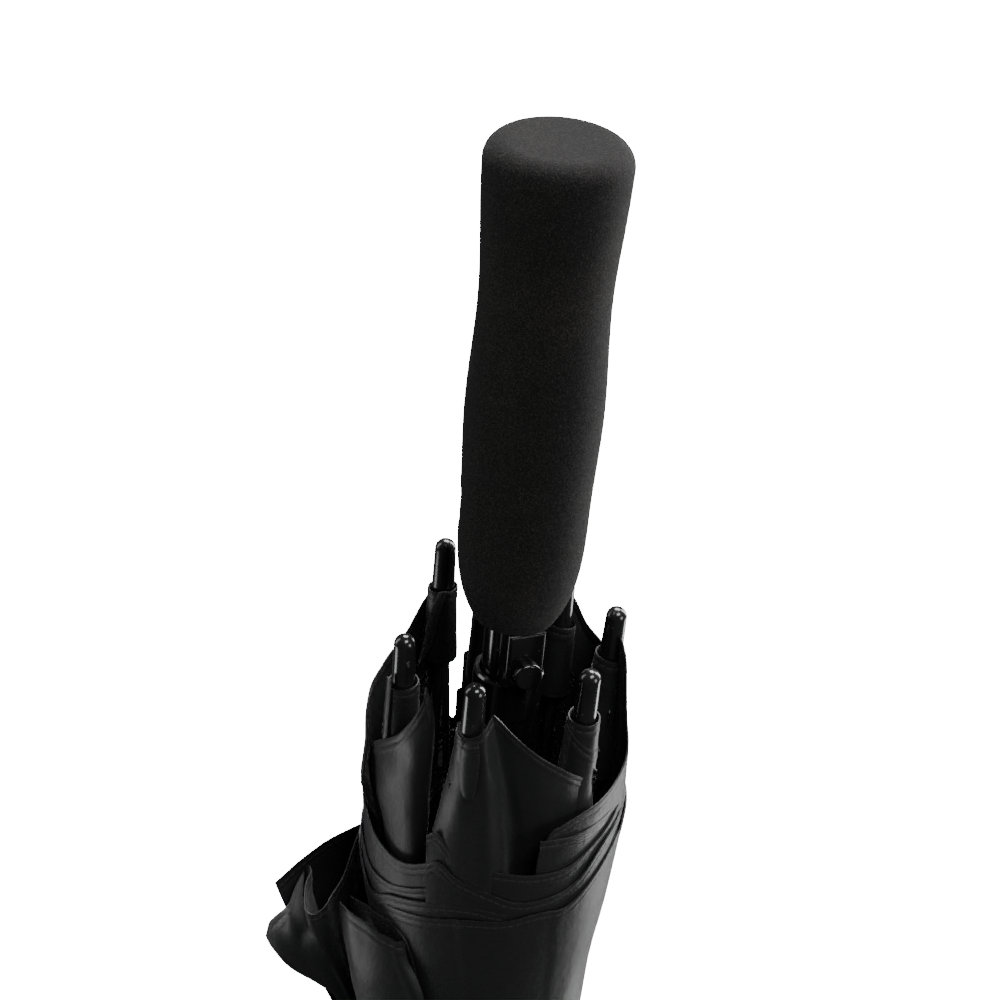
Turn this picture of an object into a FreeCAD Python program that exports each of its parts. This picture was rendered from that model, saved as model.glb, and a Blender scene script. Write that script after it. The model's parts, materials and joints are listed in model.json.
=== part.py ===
import FreeCAD, Part

# Golf umbrella, closed and latched, as a parametric FreeCAD document.
#
# The umbrella stands on its ferrule with the grip up: +Z runs along the shaft from the ferrule's
# end to the grip, and the origin is the centre of the ferrule's end.  Lengths are millimetres.
# A bearing is an angle about +Z, measured from -Y towards +X.
#
# The crown is fixed on the shaft near the ferrule.  Eight ribs hinge on it and point up to the
# grip.  Eight stretchers hinge on the runner, which slides down the shaft to open the canopy.
import math
import os
import re
import Sketcher

RIB_COUNT = 8
# bearing, radius and height of the top of each rib tip, as the closed ribs lie
RIB_TIPS = [
    (-15.0, 35.0, 825.0),
    (50.0, 32.0, 825.0),
    (112.0, 34.0, 826.0),
    (153.0, 33.0, 825.0),
    (174.0, 33.0, 825.0),
    (194.5, 33.0, 825.0),
    (221.5, 35.0, 836.0),
    (290.5, 34.0, 825.0),
]
LOOSE_GORE = 6

SIZES = {
    # heights along the shaft
    "ferrule_pin_top": 18, "ferrule_shoulder": 30, "ferrule_top": 58, "shaft_foot": 26,
    "cap_top": 63, "washer_top": 64, "crown_pivot_z": 75, "crown_top": 84,
    "stop_z": 366, "stop_height": 5,
    "runner_pivot_z": 755, "runner_foot": 747, "runner_head_top": 764, "runner_top": 805,
    "collar_foot": 795, "collar_top": 809,
    "housing_foot": 799, "housing_boss_foot": 809.5, "button_z": 815,
    "grip_foot": 829, "core_top": 976, "shaft_top": 973, "grip_top": 984,
    "strap_foot": 612, "strap_width": 24,
    # radii and walls
    "ferrule_pin_radius": 4.5, "ferrule_radius": 8.4, "shaft_radius": 7, "shaft_bore": 5.6,
    "cap_radius": 14, "crown_radius": 12, "pivot_radius": 10, "wire_radius": 0.5,
    "wire_groove": 0.56, "slot_floor": 7.9, "slot_width": 2.8,
    "runner_bore": 7.15, "runner_head_radius": 11.6, "runner_radius": 9.9,
    "runner_counterbore": 8.7, "latch_groove": 9.4, "collar_radius": 10.8, "collar_lip": 8.8,
    "housing_radius": 8.4, "core_radius": 9.5, "stop_radius": 8.2,
    # grip foam
    "grip_end_radius": 21.2, "grip_waist_radius": 19.15, "grip_belly_radius": 20.4,
    "grip_foot_radius": 12.5, "grip_end_flat": 14.5, "grip_end_round": 6.5,
    # push button and latch
    "button_bearing": 25, "button_radius": 4.6, "button_bore": 4.75, "button_face": 15.4,
    "button_back": 9.9, "boss_width": 12.4, "boss_depth": 12.2, "pawl_width": 4,
    "window_width": 4.6, "window_foot": 800.8,
    # springs
    "main_wire": 0.45, "main_coil": 7.92, "main_pitch": 2.1, "main_foot": 765.6,
    "main_length": 32, "press_wire": 0.15, "press_coil": 1.2, "press_pitch": 0.74,
    "press_length": 3.7, "press_z": 817.4, "press_foot": 7.3,
    "press_seat_depth": 1.5, "press_seat_radius": 1.6,
    # ribs, stretchers and tips
    "first_bearing": -18, "rod_radius": 1.7, "clip_length": 14, "clip_width": 3.4,
    "eye_radius": 1.9, "eye_hole": 0.9, "plate_thickness": 2,
    "joint_distance": 340, "bracket_length": 14, "bracket_radius": 2.1,
    "joint_offset": 5, "joint_inset": 2, "stretcher_radius": 1.3, "stretcher_end_width": 3,
    "tip_length": 28, "tip_foot_radius": 3.9, "tip_head_radius": 3.3, "tip_socket": 16,
    # closed canopy
    "gore_foot": 66, "gore_top": 765, "gore_gap": 1.2, "gore_inner_step": 2.4,
    "gore_outer_step": 5, "gore_waist_z": 640, "gore_swell_z": 700, "gore_swell_radius": 39,
    "gore_top_radius": 40.5, "loose_low_z": 690, "loose_radius": 71, "loose_high_z": 716,
    "loose_high_radius": 66, "strap_thickness": 1.2, "strap_gap": 0.3,
    "snap_radius": 6.5, "snap_depth": 2.2, "snap_bearing": 40,
}

doc = FreeCAD.newDocument("golf_umbrella")
sheet = doc.addObject("Spreadsheet::Sheet", "sizes")
for row, (alias, size) in enumerate(SIZES.items(), start=1):
    sheet.set(f"A{row}", alias)
    sheet.set(f"B{row}", str(size))
    sheet.setAlias(f"B{row}", alias)
doc.recompute()

NODES = []


def bound(text):
    """The expression with each alias pointed at the sheet."""
    return re.sub(r"[a-z][a-z_]+[a-z]", lambda word: f"sizes.{word.group()}", text)


def value(text):
    """The number that an expression of aliases comes to."""
    return float(sheet.evalExpression(bound(text)))


def node(item, label):
    """Marks an object as a sub-part that gets its own file."""
    item.Label = label
    NODES.append(item)
    return item


def origin_plane(body, role):
    return next(f for f in body.Origin.OriginFeatures if f.Role == role)


def outline(body, name, points, role="XZ_Plane"):
    """A closed sketch of straight lines whose corners are bound to the sheet."""
    sketch = body.newObject("Sketcher::SketchObject", name)
    sketch.AttachmentSupport = [(origin_plane(body, role), "")]
    sketch.MapMode = "FlatFace"
    corners = [FreeCAD.Vector(value(x), value(y), 0) for x, y in points]
    count = len(corners)
    for k in range(count):
        sketch.addGeometry(Part.LineSegment(corners[k], corners[(k + 1) % count]), False)
    for k in range(count):
        sketch.addConstraint(Sketcher.Constraint("Coincident", k, 2, (k + 1) % count, 1))
    for k, corner in enumerate(points):
        for kind, text, number in zip(("DistanceX", "DistanceY"), corner, corners[k][:2]):
            index = sketch.addConstraint(Sketcher.Constraint(kind, -1, 1, k, 1, number))
            sketch.setExpression(f"Constraints[{index}]", bound(text))
    return sketch


def revolved(name, points, angle="360"):
    """A body turned about the shaft's axis from an outline of (radius, height) corners."""
    body = doc.addObject("PartDesign::Body", name)
    sketch = outline(body, f"{name}_outline", points)
    turn = body.newObject("PartDesign::Revolution", f"{name}_turn")
    turn.Profile = sketch
    turn.ReferenceAxis = (sketch, ["V_Axis"])
    turn.setExpression("Angle", bound(angle))
    doc.recompute()
    return body


def slotted(name, points, slot_low, slot_high):
    """A turned body with one slot per rib, each open outwards and at one end."""
    body = revolved(name, points)
    half, floor = "slot_width / 2", "slot_floor"
    slot = outline(
        body, f"{name}_slot",
        [(f"-({half})", floor), (half, floor), (half, "3 * slot_floor"),
         (f"-({half})", "3 * slot_floor")], "XY_Plane")
    slot.setExpression("AttachmentOffset.Base.z", bound(slot_low))
    pocket = body.newObject("PartDesign::Pocket", f"{name}_pocket")
    pocket.Profile = slot
    pocket.Reversed = True
    pocket.setExpression("Length", bound(f"({slot_high}) - ({slot_low})"))
    doc.recompute()
    ring = body.newObject("PartDesign::PolarPattern", f"{name}_slots")
    ring.Originals = [pocket]
    ring.Axis = (slot, ["N_Axis"])
    ring.Angle = 360
    ring.Occurrences = RIB_COUNT
    body.Tip = ring
    body.Placement.Rotation = FreeCAD.Rotation(
        FreeCAD.Vector(0, 0, 1), value("first_bearing") - 180)
    doc.recompute()
    return body


def primitive(kind, name, sizes, height="0", place=None):
    """A Part primitive with its sizes bound, standing at a bound height."""
    item = doc.addObject(f"Part::{kind}", name)
    for key, text in sizes.items():
        item.setExpression(key, bound(text))
    if place is not None:
        item.Placement = place
    if height != "0":
        item.setExpression("Placement.Base.z", bound(height))
    return item


def cut(name, base, tool):
    item = doc.addObject("Part::Cut", name)
    item.Base = base
    item.Tool = tool
    return item


def fuse(name, *pieces):
    item = doc.addObject("Part::MultiFuse", name)
    item.Shapes = list(pieces)
    return item


def group(name, *pieces):
    """Separate solids that share one node."""
    item = doc.addObject("Part::Compound", name)
    item.Links = list(pieces)
    return item


def outward(bearing):
    angle = math.radians(bearing)
    return FreeCAD.Vector(math.sin(angle), -math.cos(angle), 0)


def facing(bearing):
    """Turns local +X to point outwards at a bearing, with local +Z up."""
    return FreeCAD.Rotation(FreeCAD.Vector(0, 0, 1), bearing - 90)


def hinge_bearing(rib):
    return value("first_bearing") + 360 / RIB_COUNT * rib


# ---- shaft, ferrule and crown: everything fixed to the shaft at the canopy's end ----

def make_ferrule():
    node(revolved("ferrule", [
        ("0", "0"), ("ferrule_pin_radius - 0.8", "0"), ("ferrule_pin_radius", "0.8"),
        ("ferrule_pin_radius", "ferrule_pin_top"),
        ("ferrule_radius - 1.6", "ferrule_pin_top + 2"),
        ("ferrule_radius", "ferrule_shoulder"), ("ferrule_radius", "ferrule_top"),
        ("shaft_radius", "ferrule_top"), ("shaft_radius", "shaft_foot"), ("0", "shaft_foot"),
    ]), "ferrule")


def make_crown():
    node(revolved("crown_cap", [
        ("shaft_radius", "ferrule_top"), ("ferrule_radius + 1.4", "ferrule_top"),
        ("cap_radius - 1.2", "ferrule_top + 2.4"), ("cap_radius", "cap_top - 1"),
        ("cap_radius", "cap_top"), ("shaft_radius", "cap_top"),
    ]), "crown_cap")
    node(revolved("canopy_washer", [
        ("shaft_radius", "cap_top"), ("cap_radius - 1", "cap_top"),
        ("cap_radius - 1", "washer_top"), ("shaft_radius", "washer_top"),
    ]), "canopy_washer")
    notch = slotted("crown_notch", [
        ("shaft_radius", "washer_top"), ("crown_radius - 0.8", "washer_top"),
        ("crown_radius", "washer_top + 0.8"), ("crown_radius", "crown_top - 1"),
        ("crown_radius - 1", "crown_top"), ("shaft_radius", "crown_top"),
    ], "crown_pivot_z - 4", "crown_top + 1")
    groove = primitive("Torus", "crown_groove",
                       {"Radius1": "pivot_radius", "Radius2": "wire_groove"}, "crown_pivot_z")
    node(cut("crown", notch, groove), "crown")
    node(primitive("Torus", "crown_wire",
                   {"Radius1": "pivot_radius", "Radius2": "wire_radius"}, "crown_pivot_z"),
         "crown_wire")


def make_shaft():
    tube = revolved("shaft_tube", [
        ("shaft_bore", "shaft_foot"), ("shaft_radius", "shaft_foot"),
        ("shaft_radius", "shaft_top"), ("shaft_bore", "shaft_top"),
    ])
    window = primitive("Box", "shaft_window", {
        "Length": "shaft_radius", "Width": "window_width", "Height": "button_z - window_foot"})
    bearing = value("button_bearing")
    side = outward(bearing + 90) * (-value("window_width") / 2)
    start = outward(bearing) * (value("shaft_bore") - 1.5) + side
    start.z = value("window_foot")
    window.Placement = FreeCAD.Placement(start, facing(bearing))
    node(cut("shaft", tube, window), "shaft")
    node(revolved("runner_stop", [
        ("shaft_radius", "stop_z"), ("stop_radius", "stop_z"),
        ("stop_radius", "stop_z + stop_height - 1"),
        ("stop_radius - 0.6", "stop_z + stop_height"), ("shaft_radius", "stop_z + stop_height"),
    ]), "runner_stop")


# ---- runner, its collar and the springs ----

def make_runner():
    sleeve = slotted("runner_sleeve", [
        ("runner_bore", "runner_foot"), ("runner_head_radius - 1", "runner_foot"),
        ("runner_head_radius", "runner_foot + 1"), ("runner_head_radius", "runner_head_top - 2"),
        ("runner_radius", "runner_head_top"), ("runner_radius", "runner_top"),
        ("latch_groove", "runner_top"), ("latch_groove", "runner_top - 5"),
        ("runner_counterbore", "runner_top - 5"), ("runner_counterbore", "main_foot - 0.6"),
        ("runner_bore", "main_foot - 0.6"),
    ], "runner_foot - 1", "runner_pivot_z + 4")
    groove = primitive("Torus", "runner_groove",
                       {"Radius1": "pivot_radius", "Radius2": "wire_groove"}, "runner_pivot_z")
    node(cut("runner", sleeve, groove), "runner")
    node(primitive("Torus", "runner_wire",
                   {"Radius1": "pivot_radius", "Radius2": "wire_radius"}, "runner_pivot_z"),
         "runner_wire")
    node(revolved("runner_collar", [
        ("runner_radius", "collar_foot"), ("collar_radius - 0.4", "collar_foot"),
        ("collar_radius", "collar_foot + 0.6"), ("collar_radius", "collar_top - 0.6"),
        ("collar_radius - 0.6", "collar_top"), ("collar_lip + 0.3", "collar_top"),
        ("collar_lip", "collar_top - 0.5"), ("collar_lip", "runner_top"),
        ("runner_radius", "runner_top"),
    ]), "runner_collar")


def coil(name, wire, radius, pitch, length, place):
    """A coil spring swept along a helix."""
    path = primitive("Helix", f"{name}_path",
                     {"Radius": radius, "Pitch": pitch, "Height": length})
    section = primitive("Circle", f"{name}_wire", {"Radius": wire})
    section.Placement = FreeCAD.Placement(
        FreeCAD.Vector(value(radius), 0, 0), FreeCAD.Rotation(FreeCAD.Vector(1, 0, 0), 90))
    doc.recompute()
    spring = doc.addObject("Part::Sweep", name)
    spring.Sections = [section]
    spring.Spine = path
    spring.Solid = True
    spring.Frenet = True
    spring.Placement = place
    return spring


def make_springs():
    node(coil("opening_spring", "main_wire", "main_coil", "main_pitch", "main_length",
              FreeCAD.Placement(FreeCAD.Vector(0, 0, value("main_foot")), FreeCAD.Rotation())),
         "opening_spring")
    bearing = value("button_bearing")
    foot = outward(bearing) * value("press_foot")
    foot.z = value("press_z")
    lying = facing(bearing).multiply(FreeCAD.Rotation(FreeCAD.Vector(0, 1, 0), 90))
    node(coil("button_spring", "press_wire", "press_coil", "press_pitch", "press_length",
              FreeCAD.Placement(foot, lying)), "button_spring")


# ---- push button, its housing and the latch ----

def make_button():
    bearing = value("button_bearing")
    turn = facing(bearing)

    def radial_box(name, near, far, width, low, high):
        box = primitive("Box", name, {
            "Length": f"({far}) - ({near})", "Width": width, "Height": f"({high}) - ({low})"})
        corner = outward(bearing) * value(near) + outward(bearing + 90) * (-value(width) / 2)
        corner.z = value(low)
        box.Placement = FreeCAD.Placement(corner, turn)
        return box

    def radial_cylinder(name, near, far, radius):
        start = outward(bearing) * value(near)
        start.z = value("button_z")
        lying = turn.multiply(FreeCAD.Rotation(FreeCAD.Vector(0, 1, 0), 90))
        return primitive("Cylinder", name, {"Radius": radius, "Height": f"({far}) - ({near})"},
                         place=FreeCAD.Placement(start, lying))

    sleeve = primitive("Cylinder", "housing_sleeve", {
        "Radius": "housing_radius", "Height": "grip_foot - housing_foot"}, "housing_foot")
    boss = radial_box("housing_boss", "0", "boss_depth", "boss_width",
                      "housing_boss_foot", "grip_foot")
    softened = doc.addObject("Part::Fillet", "housing_soft_boss")
    softened.Base = boss
    doc.recompute()
    far_edges = []
    for index, edge in enumerate(boss.Shape.Edges, start=1):
        reach = min(v.Point.dot(outward(bearing)) for v in edge.Vertexes)
        if reach > value("boss_depth") - 0.1:
            far_edges.append((index, 1.4, 1.4))
    softened.Edges = far_edges
    outer = fuse("housing_outer", sleeve, softened)
    bore = primitive("Cylinder", "housing_bore", {
        "Radius": "shaft_radius", "Height": "grip_foot - housing_foot + 2"}, "housing_foot - 1")
    button_way = radial_cylinder("housing_button_way", "0", "boss_depth + 4", "button_bore")
    pawl_way = radial_box("housing_pawl_way", "0", "boss_depth", "window_width",
                          "housing_foot + 1.5", "button_z")
    node(cut("button_housing", outer, fuse("housing_ways", bore, button_way, pawl_way)),
         "button_housing")

    barrel = radial_cylinder("button_barrel", "button_back", "button_face", "button_radius")
    rounded = doc.addObject("Part::Fillet", "button_soft_barrel")
    rounded.Base = barrel
    doc.recompute()
    rims = [index for index, edge in enumerate(barrel.Shape.Edges, start=1)
            if edge.CenterOfMass.dot(outward(bearing)) > value("button_face") - 0.1]
    rounded.Edges = [(index, 0.8, 0.8) for index in rims]
    seat = primitive("Cylinder", "button_seat", {
        "Radius": "press_seat_radius", "Height": "press_seat_depth"})
    seat_start = outward(bearing) * value("button_back")
    seat_start.z = value("press_z")
    seat.Placement = FreeCAD.Placement(seat_start, barrel.Placement.Rotation)
    node(cut("push_button", rounded, seat), "push_button")

    pawl = doc.addObject("PartDesign::Body", "latch_body")
    shape = outline(pawl, "latch_outline", [
        ("7.5", "housing_foot + 2"), ("latch_groove - 0.35", "housing_foot + 2"),
        ("latch_groove - 0.35", "housing_foot + 3.6"), ("8.5", "housing_foot + 5.2"),
        ("8.5", "button_z - 4.1"), ("button_back", "button_z - 4.1"),
        ("button_back", "button_z - 0.4"), ("7.5", "button_z - 0.4"),
    ])
    pad = pawl.newObject("PartDesign::Pad", "latch_pad")
    pad.Profile = shape
    pad.setExpression("Length", bound("pawl_width"))
    pad.Midplane = True
    pawl.Placement.Rotation = turn
    node(pawl, "latch_pawl")


# ---- grip ----

def make_grip():
    node(revolved("grip_core", [
        ("shaft_radius", "grip_foot"), ("core_radius", "grip_foot"),
        ("core_radius", "core_top"), ("0", "core_top"), ("0", "shaft_top"),
        ("shaft_radius", "shaft_top"),
    ]), "grip_core")

    def at(radius, height):
        return FreeCAD.Vector(value(radius), 0, value(height))

    side = Part.BSplineCurve()
    side.interpolate([
        at("grip_end_radius", "grip_top - grip_end_round"), at("grip_end_radius - 0.7", "grip_top - 22"),
        at("grip_waist_radius", "grip_top - 46"), at("grip_belly_radius", "grip_top - 83"),
        at("grip_belly_radius - 1", "grip_top - 114"), at("grip_foot_radius + 3.3", "grip_foot + 7"),
        at("grip_foot_radius", "grip_foot"),
    ])
    arc_middle = value("grip_end_round") * (1 - math.sqrt(0.5))
    rim = Part.Arc(
        at("grip_end_flat", "grip_top"),
        FreeCAD.Vector(value("grip_end_radius") - arc_middle, 0, value("grip_top") - arc_middle),
        at("grip_end_radius", "grip_top - grip_end_round"))
    edges = [
        rim.toShape(), side.toShape(),
        Part.LineSegment(at("grip_foot_radius", "grip_foot"), at("core_radius", "grip_foot")).toShape(),
        Part.LineSegment(at("core_radius", "grip_foot"), at("core_radius", "core_top")).toShape(),
        Part.LineSegment(at("core_radius", "core_top"), at("0", "core_top")).toShape(),
        Part.LineSegment(at("0", "core_top"), at("0", "grip_top")).toShape(),
        Part.LineSegment(at("0", "grip_top"), at("grip_end_flat", "grip_top")).toShape(),
    ]
    face = Part.Face(Part.Wire(Part.__sortEdges__(edges)))
    foam = doc.addObject("Part::Feature", "grip_foam")
    foam.Shape = face.revolve(FreeCAD.Vector(0, 0, 0), FreeCAD.Vector(0, 0, 1), 360)
    node(foam, "grip_foam")


# ---- ribs, tips and stretchers ----

def rib_frame(rib):
    """Stands local +Z along a closed rib, from its crown pivot to its tip."""
    bearing, radius, height = RIB_TIPS[rib]
    pivot = outward(hinge_bearing(rib)) * value("pivot_radius")
    pivot.z = value("crown_pivot_z")
    top = outward(bearing) * radius
    top.z = height
    lean = FreeCAD.Rotation(FreeCAD.Vector(0, 0, 1), top - pivot)
    return FreeCAD.Placement(pivot, lean.multiply(facing(hinge_bearing(rib)))), (top - pivot).Length


def eye_plate(name, direction):
    """A flat clip with a hinge eye at the origin, reaching along local Z."""
    disc = primitive("Cylinder", f"{name}_disc",
                     {"Radius": "eye_radius", "Height": "plate_thickness"},
                     place=FreeCAD.Placement(
                         FreeCAD.Vector(0, value("plate_thickness") / 2, 0),
                         FreeCAD.Rotation(FreeCAD.Vector(1, 0, 0), 90)))
    length = value("clip_length")
    plate = primitive("Box", f"{name}_plate", {
        "Length": "clip_width", "Width": "plate_thickness", "Height": "clip_length"})
    plate.Placement.Base = FreeCAD.Vector(
        -value("clip_width") / 2, -value("plate_thickness") / 2, min(0, direction * length))
    hole = primitive("Cylinder", f"{name}_hole", {"Radius": "eye_hole", "Height": "8"},
                     place=FreeCAD.Placement(FreeCAD.Vector(0, 4, 0),
                                             FreeCAD.Rotation(FreeCAD.Vector(1, 0, 0), 90)))
    return cut(f"{name}_clip", fuse(f"{name}_blank", disc, plate), hole)


def joint_side(rib):
    """The stretcher lies on the side that its closed rib leans away from."""
    return -1 if RIB_TIPS[rib][0] > hinge_bearing(rib) else 1


def make_rib(rib):
    number = rib + 1
    place, length = rib_frame(rib)
    name = f"rib_{number}"
    clip = eye_plate(name, 1)
    foot, head = value("clip_length"), length - value("tip_length") + value("tip_socket")
    rod = primitive("Cylinder", f"{name}_rod", {"Radius": "rod_radius"})
    rod.Height = head - foot
    rod.setExpression("Placement.Base.z", bound("clip_length"))
    hole = primitive("Cylinder", f"{name}_bracket_bore",
                     {"Radius": "rod_radius", "Height": "bracket_length + 2"},
                     "joint_distance - bracket_length / 2 - 1")
    shell = primitive("Cylinder", f"{name}_bracket_shell",
                      {"Radius": "bracket_radius", "Height": "bracket_length"},
                      "joint_distance - bracket_length / 2")
    ear_reach = "joint_offset - stretcher_end_width / 2 - 0.5"
    ear = primitive("Box", f"{name}_bracket_ear", {
        "Length": "2 * rod_radius", "Width": ear_reach,
        "Height": "bracket_length / 2"}, "joint_distance - bracket_length / 4")
    ear.setExpression("Placement.Base.x", bound("-joint_inset - rod_radius"))
    if joint_side(rib) < 0:
        ear.setExpression("Placement.Base.y", bound(f"-({ear_reach})"))
    bracket = cut(f"{name}_bracket", fuse(f"{name}_bracket_blank", shell, ear), hole)
    whole = group(name, clip, rod, bracket)
    whole.Placement = place
    node(whole, name)

    name = f"rib_tip_{number}"
    cone = primitive("Cone", f"{name}_cone", {
        "Radius1": "tip_foot_radius", "Radius2": "tip_head_radius",
        "Height": "tip_length - tip_head_radius"})
    dome = primitive("Sphere", f"{name}_dome", {"Radius": "tip_head_radius"},
                     "tip_length - tip_head_radius")
    socket = primitive("Cylinder", f"{name}_socket",
                       {"Radius": "rod_radius", "Height": "tip_socket"})
    cap = cut(name, fuse(f"{name}_blank", cone, dome), socket)
    shift = FreeCAD.Vector(0, 0, length - value("tip_length"))
    cap.Placement = place.multiply(FreeCAD.Placement(shift, FreeCAD.Rotation()))
    node(cap, name)


def joint_point(rib):
    """Where the stretcher meets its rib, with the stretcher inside and beside the rib."""
    place, _ = rib_frame(rib)
    offset = joint_side(rib) * value("joint_offset")
    return place.multVec(FreeCAD.Vector(-value("joint_inset"), offset, value("joint_distance")))


def make_stretcher(rib):
    name = f"stretcher_{rib + 1}"
    pivot = outward(hinge_bearing(rib)) * value("pivot_radius")
    pivot.z = value("runner_pivot_z")
    reach = joint_point(rib) - pivot
    clip = eye_plate(name, -1)
    rod = primitive("Cylinder", f"{name}_rod", {"Radius": "stretcher_radius"})
    rod.Height = reach.Length - value("clip_length") - value("stretcher_radius")
    rod.Placement.Base.z = value("stretcher_radius") - reach.Length
    end = primitive("Cylinder", f"{name}_end", {
        "Radius": "eye_radius", "Height": "stretcher_end_width"})
    end.Placement = FreeCAD.Placement(
        FreeCAD.Vector(0, value("stretcher_end_width") / 2, -reach.Length),
        FreeCAD.Rotation(FreeCAD.Vector(1, 0, 0), 90))
    shape = fuse(name, clip, rod, end)
    lean = FreeCAD.Rotation(FreeCAD.Vector(0, 0, -1), reach)
    shape.Placement = FreeCAD.Placement(pivot, lean.multiply(facing(hinge_bearing(rib))))
    node(shape, name)


# ---- canopy and strap ----

def rib_line(height, step):
    """The radius of the widest rib at a height, and a step outside it."""
    return (f"pivot_radius + {RIB_TIPS[0][1] - value('pivot_radius')} * ({height} - crown_pivot_z)"
            f" / {RIB_TIPS[0][2] - value('crown_pivot_z')} + {step}")


def make_gore(gore):
    name = f"canopy_gore_{gore + 1}"
    points = [
        ("crown_radius + 0.4", "gore_foot"),
        (rib_line("gore_top", "gore_inner_step"), "gore_top"), ("gore_top_radius", "gore_top"),
    ]
    if gore == LOOSE_GORE:
        points += [("gore_top_radius + 1", "gore_top - 12"), ("loose_high_radius", "loose_high_z"),
                   ("loose_radius", "loose_low_z")]
    else:
        points.append(("gore_swell_radius", "gore_swell_z"))
    points += [(rib_line("gore_waist_z", "gore_outer_step"), "gore_waist_z"),
               ("crown_radius + 3", "gore_foot")]
    body = revolved(name, points, f"360 / {RIB_COUNT} - gore_gap")
    body.Placement.Rotation = FreeCAD.Rotation(
        FreeCAD.Vector(0, 0, 1), hinge_bearing(gore) - 90 + value("gore_gap") / 2)
    node(body, name)


def make_strap():
    inner = rib_line("strap_foot + strap_width", "gore_outer_step + strap_gap")
    node(revolved("tie_strap", [
        (inner, "strap_foot"), (f"{inner} + strap_thickness", "strap_foot"),
        (f"{inner} + strap_thickness", "strap_foot + strap_width"),
        (inner, "strap_foot + strap_width"),
    ]), "tie_strap")
    bearing = value("snap_bearing")
    start = outward(bearing) * (value(inner) + value("strap_thickness"))
    start.z = value("strap_foot + strap_width / 2")
    lying = facing(bearing).multiply(FreeCAD.Rotation(FreeCAD.Vector(0, 1, 0), 90))
    disc = primitive("Cylinder", "snap_disc", {"Radius": "snap_radius", "Height": "snap_depth"},
                     place=FreeCAD.Placement(start, lying))
    around = primitive("Cylinder", "snap_around",
                       {"Radius": f"{inner} + strap_thickness", "Height": "strap_width"}, "strap_foot")
    node(cut("strap_snap", disc, around), "strap_snap")


def check_and_write():
    doc.recompute()
    for item in doc.Objects:
        if "Invalid" in item.State or "Error" in item.State:
            raise RuntimeError(f"{item.Name} failed: {item.State}")
    os.makedirs("parts", exist_ok=True)
    for item in NODES:
        shape = item.Shape
        if shape.isNull() or not shape.isValid() or not shape.Solids:
            raise RuntimeError(f"{item.Label} has no valid solid")
        shape.exportStep(f"parts/{item.Label}.step")
        print(f"{item.Label}: {len(shape.Solids)} solid(s), {shape.Volume:.1f} mm3")


make_ferrule()
make_crown()
make_shaft()
make_runner()
make_springs()
make_button()
make_grip()
for index in range(RIB_COUNT):
    make_rib(index)
    make_stretcher(index)
    make_gore(index)
make_strap()
check_and_write()
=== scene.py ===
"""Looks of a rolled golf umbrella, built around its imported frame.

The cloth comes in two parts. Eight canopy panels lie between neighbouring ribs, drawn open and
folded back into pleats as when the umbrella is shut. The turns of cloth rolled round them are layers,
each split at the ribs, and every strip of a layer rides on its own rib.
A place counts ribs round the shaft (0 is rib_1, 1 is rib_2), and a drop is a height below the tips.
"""

import json
import math

import bmesh
import bpy
import numpy as np
from mathutils import Matrix, Vector, noise


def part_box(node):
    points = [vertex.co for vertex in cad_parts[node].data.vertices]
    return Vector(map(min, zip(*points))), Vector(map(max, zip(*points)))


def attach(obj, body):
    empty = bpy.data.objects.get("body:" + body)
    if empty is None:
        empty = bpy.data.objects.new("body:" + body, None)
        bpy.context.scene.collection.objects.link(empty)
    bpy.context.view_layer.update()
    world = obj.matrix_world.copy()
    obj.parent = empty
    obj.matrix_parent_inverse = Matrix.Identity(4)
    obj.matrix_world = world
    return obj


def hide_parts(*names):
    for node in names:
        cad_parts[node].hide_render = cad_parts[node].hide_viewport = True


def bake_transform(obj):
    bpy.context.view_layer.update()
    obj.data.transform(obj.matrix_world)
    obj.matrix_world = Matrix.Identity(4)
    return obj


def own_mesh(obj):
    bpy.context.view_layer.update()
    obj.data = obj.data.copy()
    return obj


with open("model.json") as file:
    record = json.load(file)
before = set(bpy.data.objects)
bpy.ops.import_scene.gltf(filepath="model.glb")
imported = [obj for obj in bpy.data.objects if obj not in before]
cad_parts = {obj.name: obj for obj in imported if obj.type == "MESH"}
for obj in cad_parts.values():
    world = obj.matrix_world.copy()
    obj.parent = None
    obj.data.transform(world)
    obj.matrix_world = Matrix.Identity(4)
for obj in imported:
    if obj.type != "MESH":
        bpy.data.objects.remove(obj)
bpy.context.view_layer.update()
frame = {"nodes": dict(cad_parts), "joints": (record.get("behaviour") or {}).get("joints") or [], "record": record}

MM = 0.001
TAU = 2 * math.pi
RIB_COUNT = 8

JOINTS = {joint["name"]: joint for joint in frame["joints"]}
RATIOS = {row["joint"]: row["ratio"] for row in frame["record"]["behaviour"]["couplings"]}
STROKE = JOINTS["runner_slide"]["range_m"][1]


# ---- small maths

def unit(vector):
    return vector / np.linalg.norm(vector)


def unit_rows(vectors):
    length = np.linalg.norm(vectors, axis=-1, keepdims=True)
    return vectors / np.maximum(length, 1e-12)


def smooth_line(knots, x):
    """A smooth curve through (x, y) knots, flat beyond its ends."""
    xs, ys = np.array(knots, float).T
    slopes = np.gradient(ys, xs)
    x = np.clip(x, xs[0], xs[-1])
    i = np.clip(np.searchsorted(xs, x) - 1, 0, len(xs) - 2)
    step = xs[i + 1] - xs[i]
    t = (x - xs[i]) / step
    start = (2 * t**3 - 3 * t**2 + 1) * ys[i] + (t**3 - 2 * t**2 + t) * step * slopes[i]
    end = (3 * t**2 - 2 * t**3) * ys[i + 1] + (t**3 - t**2) * step * slopes[i + 1]
    return start + end


def ease(low, high, x):
    """A soft step from 0 at low to 1 at high."""
    t = np.clip((x - low) / (high - low), 0, 1)
    return t * t * (3 - 2 * t)


def bump_at(middle, width, x):
    """A bell curve of height 1."""
    return np.exp(-(((x - middle) / width) ** 2))


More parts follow.
